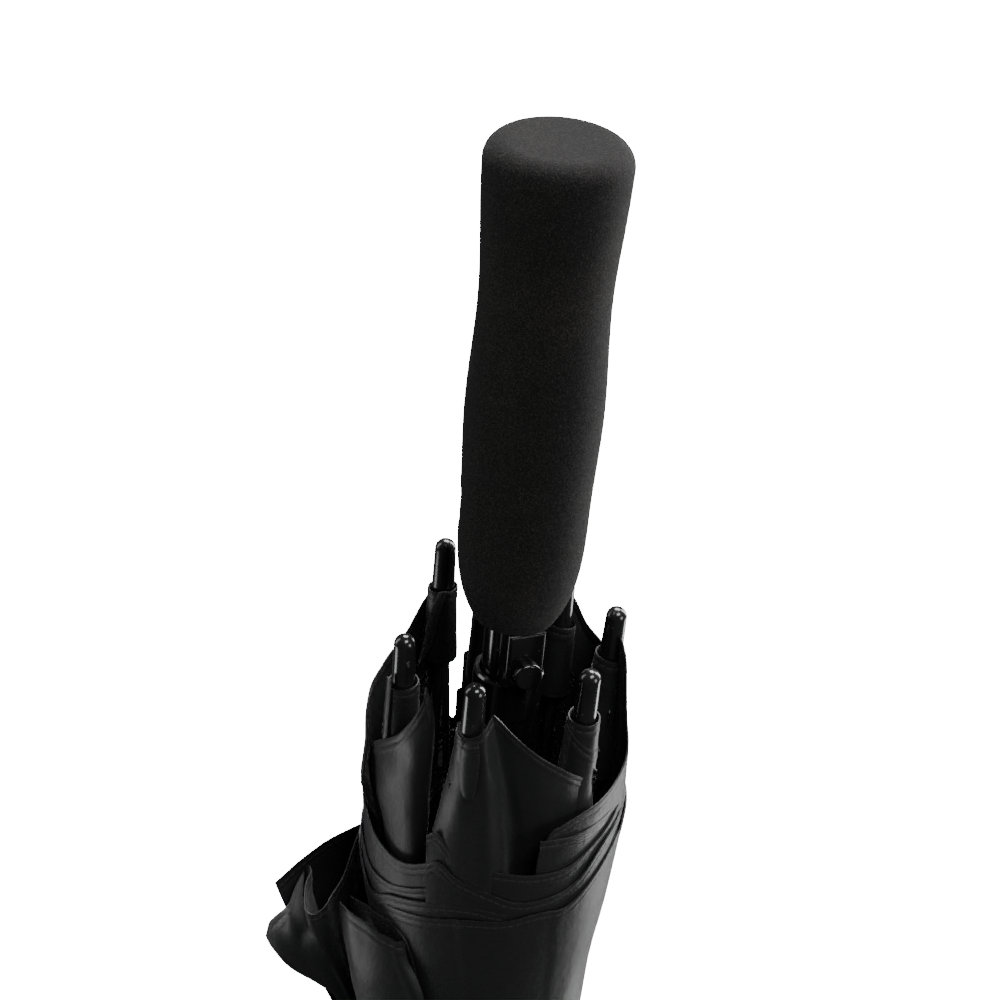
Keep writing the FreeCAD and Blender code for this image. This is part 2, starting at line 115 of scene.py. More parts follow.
def rough(points, scale, seed):
    """Smooth noise from -1 to 1 at every point; scale is the size of its lumps in metres."""
    flat = points.reshape(-1, 3) / scale + np.array([seed * 7.31, seed * 3.17, seed * 5.73])
    values = [noise.noise(Vector(point)) for point in flat]
    return np.array(values).reshape(points.shape[:-1])


# ---- ribs

class Rib:
    """One rib: its hinge, its line when shut and its turn when open."""

    def __init__(self, number):
        hinge = JOINTS[f"rib_{number}_hinge"]
        self.body = f"rib_{number}"
        self.foot = np.array(hinge["pos_m"])
        tip = frame["nodes"][f"rib_tip_{number}"].data.vertices
        self.line = unit(np.mean([vertex.co for vertex in tip], axis=0) - self.foot)
        angle = RATIOS[f"rib_{number}_hinge"] * STROKE
        self.turn = np.array(Matrix.Rotation(angle, 3, Vector(hinge["axis"])))
        self.bearing = math.atan2(self.foot[0], -self.foot[1])
        self.along = unit(np.cross(self.line, [math.sin(self.bearing), -math.cos(self.bearing), 0]))
        self.outward = unit(np.cross(self.along, self.line))

    def shut(self, points):
        """Points of the open umbrella, moved back with the rib as it shuts."""
        return (points - self.foot) @ self.turn + self.foot

    def at(self, height):
        """Points of the rib's line at these heights."""
        reach = (np.asarray(height) - self.foot[2]) / self.line[2]
        return self.foot + reach[..., None] * self.line


RIBS = [Rib(number) for number in range(1, RIB_COUNT + 1)]
TIP_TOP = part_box("rib_tip_1")[1].z
CROWN_LOW, CROWN_HIGH = (corner.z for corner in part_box("crown"))


def rib_bearing(index, height):
    """Bearing of a rib at these heights, counted on through whole turns."""
    rib = RIBS[index % RIB_COUNT]
    point = rib.at(height)
    bearing = np.arctan2(point[..., 0], -point[..., 1])
    home = RIBS[0].bearing + TAU * index / RIB_COUNT
    return bearing + TAU * np.round((home - bearing) / TAU)


def bearing_of(place, height):
    """Bearing of a place between the ribs at these heights."""
    place, height = np.broadcast_arrays(np.asarray(place, float), np.asarray(height, float))
    result = np.zeros(place.shape)
    for index in range(int(np.floor(place.min())), int(np.floor(place.max())) + 1):
        here = np.floor(place) == index
        if here.any():
            part = place[here] - index
            low = rib_bearing(index, height[here])
            high = rib_bearing(index + 1, height[here])
            result[here] = low + part * (high - low)
    return result


def around(place, height, radius):
    bearing = bearing_of(place, height)
    return np.stack([radius * np.sin(bearing), -radius * np.cos(bearing), height + 0 * bearing], -1)


# ---- the roll's outer shape

# (height, radius) of the rolled cloth, in millimetres
ROLL = ((64, 12.5), (90, 15.0), (200, 19.5), (400, 26.0), (560, 30.2), (612, 30.8), (624, 30.2),
        (636, 30.8), (680, 33.3), (700, 34.0), (726, 37.0), (749, 38.8), (773, 40.2), (800, 39.0),
        (830, 37.5))


def roll_radius(height):
    return smooth_line(ROLL, np.asarray(height) / MM) * MM


BULGE_PLACE = -1.3
BULGE_SPREAD = 0.5
BULGE_DEPTH = 3.6 * MM


def left_bulge(place, height):
    """Where the slack on the left side pushes the turns of the roll outward."""
    side = bump_at(BULGE_PLACE, BULGE_SPREAD, place) + bump_at(BULGE_PLACE + RIB_COUNT, BULGE_SPREAD, place)
    return BULGE_DEPTH * side * ease(690 * MM, 742 * MM, height) * (1 - ease(768 * MM, 784 * MM, height))


# ---- materials

def grey(value):
    return (value, value, value)


def socket(node, **values):
    """Sets a node's inputs, whose names are written with _ for a space."""
    for name, value in values.items():
        node.inputs[name.replace("_", " ")].default_value = value


class Nodes:
    """A short way to write a node material."""

    def __init__(self, name):
        self.material = bpy.data.materials.new(name)
        self.material.use_nodes = True
        self.tree = self.material.node_tree
        self.shader = self.tree.nodes["Principled BSDF"]

    def add(self, kind, **settings):
        node = self.tree.nodes.new(kind)
        for name, value in settings.items():
            setattr(node, name, value)
        return node

    def link(self, out, into):
        self.tree.links.new(out, into)

    def coordinates(self, scale, uv=None):
        mapping = self.add("ShaderNodeMapping")
        socket(mapping, Scale=scale)
        if uv:
            source = self.add("ShaderNodeUVMap", uv_map=uv)
            self.link(source.outputs["UV"], mapping.inputs["Vector"])
        else:
            source = self.add("ShaderNodeTexCoord")
            self.link(source.outputs["Object"], mapping.inputs["Vector"])
        return mapping.outputs["Vector"]

    def noise(self, scale, detail=3.0, roughness=0.55, stretch=(1, 1, 1), uv=None):
        node = self.add("ShaderNodeTexNoise")
        socket(node, Scale=scale, Detail=detail, Roughness=roughness)
        self.link(self.coordinates(stretch, uv), node.inputs["Vector"])
        return node.outputs["Fac"]

    def between(self, value, low, high, start=0.3, end=0.7):
        """A map of value onto the range from low to high."""
        node = self.add("ShaderNodeMapRange")
        socket(node, From_Min=start, From_Max=end, To_Min=low, To_Max=high)
        self.link(value, node.inputs["Value"])
        return node.outputs["Result"]

    def math(self, operation, first, second):
        node = self.add("ShaderNodeMath", operation=operation)
        for index, value in enumerate((first, second)):
            if isinstance(value, (int, float)):
                node.inputs[index].default_value = value
            else:
                self.link(value, node.inputs[index])
        return node.outputs["Value"]

    def colour(self, value, dark, light, start=0.3, end=0.7):
        node = self.add("ShaderNodeValToRGB")
        low, high = node.color_ramp.elements
        low.position, high.position = start, end
        low.color, high.color = (*dark, 1), (*light, 1)
        self.link(value, node.inputs["Fac"])
        return node.outputs["Color"]

    def mix(self, factor, first, second):
        node = self.add("ShaderNodeMix", data_type="RGBA")
        self.link(factor, node.inputs["Factor"])
        for name, value in (("A", first), ("B", second)):
            target = [s for s in node.inputs if s.name == name and s.type == "RGBA"][0]
            if isinstance(value, tuple):
                target.default_value = (*value, 1)
            else:
                self.link(value, target)
        return [s for s in node.outputs if s.type == "RGBA"][0]

    def bump(self, height, strength, distance, below=None):
        node = self.add("ShaderNodeBump")
        socket(node, Strength=strength, Distance=distance)
        self.link(height, node.inputs["Height"])
        if below:
            self.link(below, node.inputs["Normal"])
        return node.outputs["Normal"]

    def finish(self, colour, roughness, normal):
        self.link(colour, self.shader.inputs["Base Color"])
        self.link(roughness, self.shader.inputs["Roughness"])
        self.link(normal, self.shader.inputs["Normal"])
        return self.material


def moulded_plastic(name, dark, light, gloss):
    """Glossy moulded plastic: faint flow marks, dust and rubbed patches."""
    nodes = Nodes(name)
    flow = nodes.noise(60, 4)
    grain = nodes.noise(900, 2)
    dust = nodes.noise(420, 1.5)
    base = nodes.colour(flow, dark, light)
    specks = nodes.between(dust, 0, 1, 0.70, 0.76)
    colour = nodes.mix(specks, base, tuple(4 * value + 0.012 for value in light))
    socket(nodes.shader, Specular_IOR_Level=0.5, Coat_Weight=0.25, Coat_Roughness=0.08)
    return nodes.finish(
        colour, nodes.between(flow, gloss, gloss + 0.09), nodes.bump(grain, 0.08, 0.0002))


def foam():
    """Closed-cell foam: matte, with fine pale cells and a slightly rubbed skin."""
    nodes = Nodes("grip_foam")
    cells = nodes.noise(2100, 2.0, 0.75)
    pores = nodes.noise(3600, 1.5)
    wear = nodes.noise(38, 3)
    skin = nodes.colour(cells, (0.0032, 0.0031, 0.0031), (0.030, 0.028, 0.027), 0.48, 0.74)
    rubbed = nodes.colour(cells, (0.0052, 0.0049, 0.0046), (0.042, 0.038, 0.036), 0.46, 0.72)
    colour = nodes.mix(nodes.between(wear, 0, 1, 0.42, 0.68), skin, rubbed)
    low = nodes.bump(pores, 0.5, 0.0003)
    normal = nodes.bump(cells, 0.8, 0.0004, low)
    socket(nodes.shader, Specular_IOR_Level=0.2, Sheen_Weight=0.05, Sheen_Roughness=0.4)
    return nodes.finish(colour, nodes.between(cells, 0.82, 0.98), normal)


WAVE_PERIOD = 0.314  # of the wave texture at scale 1
WEAVE_PITCH = 0.42 * MM
STITCH_DROP = 2.3 * MM
STITCH_WIDTH = 0.42 * MM
STITCH_PITCH = 2.6 * MM
STITCH_SHARE = 0.74


def cloth():
    """Black satin polyester: fine weave, small crinkles and a lockstitch along each hem."""
    nodes = Nodes("canopy_fabric")
    threads = []
    for stretch in ((1, 0, 0), (0, 1, 0)):
        wave = nodes.add("ShaderNodeTexWave", bands_direction="X" if stretch[0] else "Y")
        socket(wave, Scale=WAVE_PERIOD / WEAVE_PITCH, Distortion=0.6)
        nodes.link(nodes.coordinates((1, 1, 1), "cloth"), wave.inputs["Vector"])
        threads.append(wave.outputs["Fac"])
    weave = nodes.math("MULTIPLY", *threads)
    slub = nodes.noise(260, 3, 0.6, (1, 9, 1), "cloth")
    crinkle = nodes.noise(85, 4, 0.6, (1, 1, 0.45))
    broad = nodes.noise(21, 2)
    hem = nodes.add("ShaderNodeUVMap", uv_map="hem")
    split = nodes.add("ShaderNodeSeparateXYZ")
    nodes.link(hem.outputs["UV"], split.inputs["Vector"])
    away = nodes.math("ABSOLUTE", nodes.math("SUBTRACT", split.outputs["Y"], STITCH_DROP), 0.0)
    on_line = nodes.math("LESS_THAN", away, STITCH_WIDTH / 2)
    phase = nodes.math("FRACT", nodes.math("DIVIDE", split.outputs["X"], STITCH_PITCH), 0.0)
    stitch = nodes.math("MULTIPLY", on_line, nodes.math("LESS_THAN", phase, STITCH_SHARE))
    base = nodes.colour(slub, (0.0085, 0.0085, 0.0090), (0.0150, 0.0150, 0.0158))
    colour = nodes.mix(stitch, base, (0.034, 0.034, 0.035))
    normal = nodes.bump(weave, 0.22, 0.00006)
    normal = nodes.bump(crinkle, 0.20, 0.0022, normal)
    normal = nodes.bump(stitch, 0.6, 0.0003, normal)
    patches = nodes.math("ADD", broad, nodes.math("MULTIPLY", slub, 0.4))
    roughness = nodes.between(patches, 0.38, 0.52, 0.4, 1.0)
    socket(nodes.shader, Specular_IOR_Level=0.42, Sheen_Weight=0.08, Sheen_Roughness=0.35)
    return nodes.finish(colour, roughness, normal)


def lacquer(name, dark, light, gloss, stretch):
    """Black coating on a drawn rod or tube, with lengthwise draw marks and worn spots."""
    nodes = Nodes(name)
    marks = nodes.noise(240, 3, 0.6, stretch)
    chips = nodes.noise(170, 3)
    colour = nodes.mix(nodes.between(chips, 0, 1, 0.73, 0.79), nodes.colour(marks, dark, light), grey(0.05))
    socket(nodes.shader, Specular_IOR_Level=0.5, Coat_Weight=0.3, Coat_Roughness=0.1)
    return nodes.finish(
        colour, nodes.between(marks, gloss, gloss + 0.14), nodes.bump(marks, 0.15, 0.0002))


def bare_steel():
    """Plated spring steel with brushed marks and dull spots."""
    nodes = Nodes("plain_steel")
    brushed = nodes.noise(500, 3, 0.6, (1, 1, 0.2))
    dull = nodes.noise(90, 3)
    colour = nodes.colour(dull, (0.30, 0.30, 0.31), (0.56, 0.56, 0.57))
    socket(nodes.shader, Metallic=1.0)
    return nodes.finish(colour, nodes.between(brushed, 0.22, 0.42), nodes.bump(brushed, 0.2, 0.0002))


def rubber():
    nodes = Nodes("washer_rubber")
    grain = nodes.noise(700, 3)
    bloom = nodes.noise(120, 2)
    socket(nodes.shader, Specular_IOR_Level=0.4)
    return nodes.finish(nodes.colour(bloom, (0.008, 0.008, 0.008), (0.022, 0.021, 0.020)),
                        nodes.between(grain, 0.6, 0.8), nodes.bump(grain, 0.3, 0.0003))


MATERIALS = {
    "canopy_fabric": cloth(),
    "grip_foam": foam(),
    "rib_tip_plastic": moulded_plastic("rib_tip_plastic", grey(0.007), grey(0.013), 0.17),
    "gloss_black_plastic": moulded_plastic("gloss_black_plastic", grey(0.003), grey(0.007), 0.11),
    "rib_fibreglass": lacquer("rib_fibreglass", grey(0.006), grey(0.016), 0.26, (6, 6, 0.3)),
    "shaft_lacquer": lacquer("shaft_lacquer", grey(0.004), grey(0.009), 0.12, (3, 3, 0.2)),
    "stretcher_steel": lacquer("stretcher_steel", grey(0.008), grey(0.02), 0.24, (4, 4, 0.4)),
    "plain_steel": bare_steel(),
    "washer_rubber": rubber(),
}


def dress_cad_nodes():
    """Every carried-over node gets the finish of its slot in the record."""
    for row in frame["record"]["subparts"]:
        node = frame["nodes"][row["node"]]
        node.data.materials.clear()
        node.data.materials.append(MATERIALS[row["material_slot"]])


def placed(name, data):
    """A new object with this data, in the scene."""
    item = bpy.data.objects.new(name, data)
    bpy.context.scene.collection.objects.link(item)
    return item


# ---- cloth as thin solids

CLOTH_THICKNESS = 0.35 * MM
HEM_DEPTH = 4.6 * MM
HEM_SWELL = 0.16 * MM
HEM_RIPPLE = 0.05 * MM
FRONT_PINCH = 0.14 * MM
BACK_PINCH = 0.05 * MM


def grid_normals(points):
    down = np.gradient(points, axis=0)
    across = np.gradient(points, axis=1)
    return unit_rows(np.cross(down, across))


def path_length(points, axis):
    """Distance along the grid's lines from their first point, in the given direction."""
    steps = np.linalg.norm(np.diff(points, axis=axis), axis=-1)
    pad = [(0, 0), (0, 0)]
    pad[axis] = (1, 0)
    return np.cumsum(np.pad(steps, pad), axis=axis)


def thin_solid(name, front, back, normals, cloth_uv, hem_uv):
    """A closed sheet from its front and back grids, shaded with the given normals."""
    rows, columns = front.shape[:2]
    count = rows * columns
    index = np.arange(count).reshape(rows, columns)
    quad = np.stack([index[:-1, :-1], index[1:, :-1], index[1:, 1:], index[:-1, 1:]], -1).reshape(-1, 4)
    border = np.concatenate([index[0, :-1], index[:-1, -1], index[-1, :0:-1], index[:0:-1, 0]])
    following = np.roll(border, -1)
    rim = np.stack([border, following, following + count, border + count], -1)
    faces = np.concatenate([quad, quad[:, ::-1] + count, rim])
    mesh = bpy.data.meshes.new(name)
    mesh.from_pydata(np.concatenate([front.reshape(-1, 3), back.reshape(-1, 3)]), [], faces.tolist())
    mesh.update()
    corner = faces.ravel()
    for label, values in (("cloth", cloth_uv), ("hem", hem_uv)):
        both = np.concatenate([values.reshape(-1, 2)] * 2)
        layer = mesh.uv_layers.new(name=label)
        layer.data.foreach_set("uv", both[corner].astype(np.float32).ravel())
    flat_normals = normals.reshape(-1, 3)
    both = np.concatenate([flat_normals, -flat_normals])[corner]
    rim_start = 2 * len(quad)
    face_normals = np.array([polygon.normal for polygon in mesh.polygons])
    both[4 * rim_start:] = np.repeat(face_normals[rim_start:], 4, axis=0)
    mesh.polygons.foreach_set("use_smooth", [True] * len(mesh.polygons))
    mesh.normals_split_custom_set([tuple(row) for row in both])
    mesh.materials.append(MATERIALS["canopy_fabric"])
    piece = placed(name, mesh)
    return piece


def hem_profile(depth):
    """(swell, pinch) of a rolled hem at these depths below its edge."""
    edge = ease(-0.2 * MM, 0.5 * MM, depth)
    end = 1 - ease(HEM_DEPTH - 0.5 * MM, HEM_DEPTH + 0.1 * MM, depth)
    return edge * end, bump_at(STITCH_DROP, 0.45 * MM, depth)


# rows of a hem, as depths below its edge, in millimetres
HEM_ROWS = (0, 0.3, 0.8, 1.6, 2.0, 2.3, 2.6, 3.1, 4.0, 4.4, 4.8)


def below_hem(length, row_count):
    """Depths of a layer's rows: close together in the hem, then even down to its length."""
    hem = np.array(HEM_ROWS) * MM
    rest = np.linspace(hem[-1], length, row_count + 1)[1:]
    return np.concatenate([hem, rest])


def hemmed(points, depth, seed, thickness=CLOTH_THICKNESS):
    """Front and back grids of a sheet whose rows run down from a rolled hem."""
    normals = grid_normals(points)
    swell, pinch = hem_profile(depth)
    lift = swell * (HEM_SWELL - FRONT_PINCH * pinch + HEM_RIPPLE * rough(points, 5 * MM, seed))
    sink = swell * (0.5 * HEM_SWELL - BACK_PINCH * pinch)
    front = points + normals * lift[..., None]
    back = points - normals * (thickness + sink)[..., None]
    return front, back, grid_normals(front)


def uv_of(points):
    """The weave's map: distances across and down the cloth."""
    return np.stack([path_length(points, 1), path_length(points, 0)], -1)


def hem_uv(points, depth):
    """The stitches' map: distance along the hem, and depth below it."""
    return np.stack([path_length(points, 1)[0][None, :] + 0 * depth, depth], -1)


def hemmed_grids(points, depth, seed):
    """What thin_solid needs for a hemmed sheet: its grids, normals and both texture maps."""
    front, back, normals = hemmed(points, depth, seed)
    return front, back, normals, uv_of(points), hem_uv(front, depth)


def close_seam(normals):
    """Makes the shading run on across a tube's seam."""
    normals[:, 0] = unit_rows(normals[:, 0] + normals[:, -1])
    normals[:, -1] = normals[:, 0]


COLUMN_STEP = 0.035


def columns_between(start, end):
    """Places from start to end, with one at every rib and midway between ribs."""
    halves = [k / 2 for k in range(math.ceil(2 * start), math.ceil(2 * end)) if k / 2 > start]
    stops = [start, *halves, end]
    parts = []
    for low, high in zip(stops[:-1], stops[1:]):
        count = max(2, math.ceil((high - low) / COLUMN_STEP))
        parts.append(np.linspace(low, high, count + 1)[:-1])
    return np.concatenate([*parts, [end]])


# ---- cloth hung on the ribs

# the open canopy's slope length, and how far it sags between ribs as a share of that length
CANOPY_REACH = 740 * MM
SAG_SHARE = 0.045
# the least share of a half place that is a piece
NARROWEST = 0.4


def press_beside_rib(piece, index):
    """The piece rides on a rib."""
    rib = RIBS[index % RIB_COUNT]
    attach(piece, rib.body)
    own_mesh(piece)


def hang_cloth(name, index, grids, pick):
    """Some columns of a cloth as one piece, hung on a rib."""
    front, back, normals, cloth_uv, hem_uv = (grid[:, pick] for grid in grids)
    piece = thin_solid(name, front, back, normals, cloth_uv, hem_uv)
    press_beside_rib(piece, index)


def split_at_ribs(name, places, grids):
    """Two pieces of the layer for each rib, one on either side of it."""
    home = np.floor(places[:-1] + places[1:]).astype(int)
    first, last = np.floor(2 * (places[0] + NARROWEST)), np.floor(2 * (places[-1] - NARROWEST))
    home = np.clip(home, int(first), int(last))
    for half in sorted(set(home)):
        inside = np.where(home == half)[0]
        index, side = (half + 1) // 2, 1 if half % 2 == 0 else -1
        turn = "_again" if half - home[0] >= 2 * RIB_COUNT else ""
        label = f"{name}_{index % RIB_COUNT + 1}{'b' if side > 0 else 'a'}{turn}"
        hang_cloth(label, index, grids, slice(inside[0], inside[-1] + 2))


WRINKLE = 0.35 * MM
LAYER_ROWS = 9


def layer(name, hem, lift, tuck, seed):
    """A turn of cloth on the roll. hem is its upper edge as (place, drop in mm), lift its distance
    from the roll's shape, a number or (place, lift in mm) knots, and tuck how far it draws in below
    its hem, in mm."""
    places = columns_between(hem[0][0], hem[-1][0])
    top = TIP_TOP - smooth_line(hem, places) * MM
    depth = np.stack([below_hem(value - TURN_FOOT, LAYER_ROWS) for value in top], 1)
    height = top[None, :] - depth
    out = smooth_line(lift, places) * MM if isinstance(lift, tuple) else lift * MM
    grid_place = places[None, :] + 0 * height
    out = out - tuck * MM * ease(4 * MM, 24 * MM, depth) + left_bulge(grid_place, height)
    points = around(grid_place, height, roll_radius(height) + out)
    radial = unit_rows(points * np.array([1, 1, 0]))
    points = points + radial * (WRINKLE * rough(points * np.array([1, 1, 0.5]), 11 * MM, seed))[..., None]
    split_at_ribs(name, places, hemmed_grids(points, depth, seed))


STRAP_LOW, STRAP_HIGH = (corner.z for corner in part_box("tie_strap"))
STRAP_MIDDLE = (STRAP_LOW + STRAP_HIGH) / 2
# the folded flaps wound round the outer turn: their number, their twist in turns and their step
FLAP_COUNT = 8
FLAP_TWIST = 2.6
FLAP_STEP = 1.5 * MM
OUTER_ROWS = 70
OUTER_LIFT = 1.2 * MM
OUTER_HEM = ((-1.15, 102), (-0.77, 96), (-0.4, 91), (-0.13, 88), (0.11, 85), (0.39, 84), (0.61, 82),
             (0.86, 82), (1.05, 77), (1.5, 65), (2.5, 62), (3.6, 72), (4.8, 88), (5.9, 99), (6.85, 102))


def outer_turn():
    """The outermost turn, from the crown to its hem, with the folded edges of the flaps on it."""
    places = columns_between(OUTER_HEM[0][0], OUTER_HEM[-1][0])
    top = TIP_TOP - smooth_line(OUTER_HEM, places) * MM
    foot = CROWN_HIGH - 1 * MM
    depth = np.stack([below_hem(value - foot, OUTER_ROWS) for value in top], 1)
    height = top[None, :] - depth
    place = places[None, :] + 0 * height
    bearing = bearing_of(place, height)
    climb = (height - foot) / (TIP_TOP - foot)
    turn = (bearing / TAU * FLAP_COUNT + FLAP_TWIST * climb) % 1
    step = FLAP_STEP * (ease(0.0, 0.06, turn) - turn) * ease(0.0, 0.12, climb)
    points = around(place, height, roll_radius(height) + OUTER_LIFT)
    radial = unit_rows(points * np.array([1, 1, 0]))
    creases = 0.8 * MM * rough(points * np.array([1, 1, 0.22]), 14 * MM, 3)
    puckers = 0.9 * MM * rough(points * np.array([1, 1, 0.35]), 7 * MM, 5)
    cinch = bump_at(STRAP_MIDDLE, 26 * MM, height)
    quiet = 1 - 0.75 * ease(640 * MM, 680 * MM, height)
    points = points + radial * (step * quiet + creases * quiet + puckers * cinch)[..., None]
    split_at_ribs("outer_turn", places, hemmed_grids(points, depth, 4))


CROWN_CLOTH_RADIUS = 12.7 * MM
CROWN_CLOTH_FLARE = 1.5 * MM
CROWN_CLOTH_THICKNESS = 0.4 * MM
CROWN_CLOTH_SIDES, CROWN_CLOTH_ROWS = 192, 25
CROWN_GATHERS = 24


def crown_cloth():
    """The gathered middle of the canopy, held on the crown by the ferrule's washer."""
    angle = np.linspace(0, TAU, CROWN_CLOTH_SIDES + 1)
    level = np.linspace(CROWN_HIGH + 3 * MM, CROWN_LOW - 0.5 * MM, CROWN_CLOTH_ROWS)
    height = level[:, None] + 0 * angle[None, :]
    climb = (height - height[-1, 0]) / (height[0, 0] - height[-1, 0])
    gathers = 0.25 * MM * np.cos(CROWN_GATHERS * angle)[None, :] * ease(0.0, 0.4, climb)
    radius = CROWN_CLOTH_RADIUS + CROWN_CLOTH_FLARE * climb + gathers
    points = np.stack([radius * np.sin(angle), -radius * np.cos(angle), height], -1)
    normals = grid_normals(points)
    close_seam(normals)
    across, down = path_length(points, 1), path_length(points, 0)
    back = points - CROWN_CLOTH_THICKNESS * normals
    piece = thin_solid("crown_cloth", points, back, normals, uv_of(points), hem_uv(points, down + HEM_DEPTH))
    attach(piece, "root")


# upper edges of the turns, as (place, drop in mm), and their distance from the roll's shape in mm,
# a number or (place, distance) knots
TURNS = {
    "inner_left": (
        ((-2.6, 66), (-1.9, 60), (-1.6, 57), (-1.45, 54), (-1.3, 55), (-1.2, 62), (-1.03, 70), (-0.81, 74),
         (-0.53, 74), (-0.2, 67), (0.05, 60)), -0.9),
    "second_left": (
        ((-2.8, 70), (-1.8, 76), (-1.18, 81), (-1.04, 86), (-0.77, 87), (-0.48, 83), (-0.18, 77), (0.1, 72)),
        -0.2),
    "third_left": (
        ((-3.0, 80), (-1.9, 88), (-1.18, 89), (-1.02, 95), (-0.61, 89), (-0.2, 83), (0.16, 80), (0.4, 82)),
        0.7),
    "high_band": (
        ((-0.27, 57), (-0.22, 55), (-0.05, 59), (0.14, 63), (0.42, 66), (0.62, 67), (0.81, 67), (1.06, 63),
         (1.5, 55), (2.4, 52), (3.4, 60), (4.2, 66)), -0.4),
    "low_band": (
        ((-0.24, 68), (-0.2, 66), (0.03, 70), (0.23, 73), (0.45, 77), (0.67, 77), (0.92, 74), (1.14, 65),
         (1.6, 60), (2.6, 58), (3.7, 66), (4.5, 78)), 0.4),
    "right_band": (((0.58, 54), (0.61, 54), (0.85, 55), (1.11, 55), (1.56, 55), (2.3, 50), (3.2, 56)), -1.2),
    "right_flap": (
        ((0.58, 60), (0.6, 58), (0.64, 53), (0.74, 50), (0.9, 48), (1.1, 47), (1.35, 44), (1.55, 38),
         (1.68, 28), (1.73, 14), (1.8, 9), (2.0, 10), (2.2, 16)),
        ((0.5, -1.9), (1.3, -1.2), (1.62, -0.5), (1.75, -2.6), (2.2, -3.0))),
    "rear_rim": (
        ((2.0, 19), (2.25, 22), (2.46, 20), (2.73, 17), (2.97, 9), (3.15, 12), (3.5, 26), (3.85, 12),
         (4.0, 9), (4.15, 13), (4.5, 27), (4.85, 13), (5.0, 9), (5.12, 18), (5.24, 46), (5.34, 57),
         (5.55, 57), (5.63, 48), (5.69, 24), (5.76, 14), (5.95, 7), (6.08, 12), (6.27, 20), (6.53, 25),
         (6.76, 32), (6.86, 40), (6.95, 52)),
        ((2.0, -4.0), (2.46, -1.4), (3.0, -1.4), (4.0, -2.6), (5.0, -2.6), (5.5, -3.2), (5.8, -1.0),
         (6.0, 0.6), (6.27, -0.6), (6.53, 0.8), (6.76, 3.2), (6.95, 1.2))),
}
TURN_FOOT = 700 * MM
REAR_TUCK = 5.5


def rolled_turns():
    """The inner turns, whose hems show one above another at the mouth of the roll."""
    for seed, (name, (hem, lift)) in enumerate(TURNS.items(), start=11):
        layer(name, hem, lift, REAR_TUCK if name == "rear_rim" else 0, seed)


# ---- cloth drawn by a net of points

def resampled(net, axis, positions):
    """The net with smooth curves through its points along one axis, at positions from 0 to 1."""
    net = np.moveaxis(net, axis, 0)
    steps = np.linalg.norm(np.diff(net, axis=0), axis=-1).mean(axis=1)
    knots = np.concatenate([[0], np.cumsum(steps)])
    knots = knots / knots[-1]
    flat = net.reshape(len(net), -1)
    curves = [smooth_line(np.stack([knots, column], 1), positions) for column in flat.T]
    return np.moveaxis(np.stack(curves, 1).reshape(len(positions), *net.shape[1:]), 0, axis)


def smoothed(net, rows, columns):
    return resampled(resampled(net, 0, np.linspace(0, 1, rows)), 1, np.linspace(0, 1, columns))


def spaced_rows(points, row_count):
    """The grid with its rows moved close together in its hem and even below."""
    length = path_length(points, 0)
    result = np.empty((row_count, *points.shape[1:]))
    depth = np.empty(result.shape[:2])
    for column in range(points.shape[1]):
        reach = length[-1, column]
        wanted = below_hem(reach, row_count - len(HEM_ROWS))
        depth[:, column] = wanted
        for k in range(3):
            result[:, column, k] = np.interp(wanted, length[:, column], points[:, column, k])
    return result, depth


# rows and columns a net is smoothed to first, and the fewest columns that make a piece of their own
FINE = 90
SLIVER_COLUMNS = 16


def tip_bearing(index):
    return float(rib_bearing(index, np.array(TIP_TOP - 10 * MM)))


def cloth_net(rows, bearing):
    """Control points in metres from rows of (bearing from the given one, drop, radius)."""
    net = np.array(rows, float)
    angle = bearing + np.radians(net[..., 0])
    radius = net[..., 2] * MM
    return np.stack([radius * np.sin(angle), -radius * np.cos(angle), TIP_TOP - net[..., 1] * MM], -1)


def draped(name, rows, index, columns, row_count, seed, wrinkle=0.3 * MM):
    """A sheet through a net of points beside a rib, with a hem along the net's first row. It is
    two pieces where it lies on both sides of the rib."""
    bearing = tip_bearing(index)
    net = cloth_net(rows, bearing)
    grid = smoothed(net, FINE, columns)
    points, depth = spaced_rows(grid, len(HEM_ROWS) + row_count)
    points = points + grid_normals(points) * (wrinkle * rough(points, 9 * MM, seed))[..., None]
    grids = hemmed_grids(points, depth, seed)
    middle = points.mean(axis=0)
    turn = np.arctan2(middle[:, 0], -middle[:, 1]) - bearing
    beyond = int((((turn + math.pi) % TAU) - math.pi < 0).sum())
    if beyond < SLIVER_COLUMNS or columns - beyond < SLIVER_COLUMNS:
        hang_cloth(name, index, grids, slice(None))
        return
    hang_cloth(f"{name}_a", index, grids, slice(0, beyond + 1))
    hang_cloth(f"{name}_b", index, grids, slice(beyond, None))


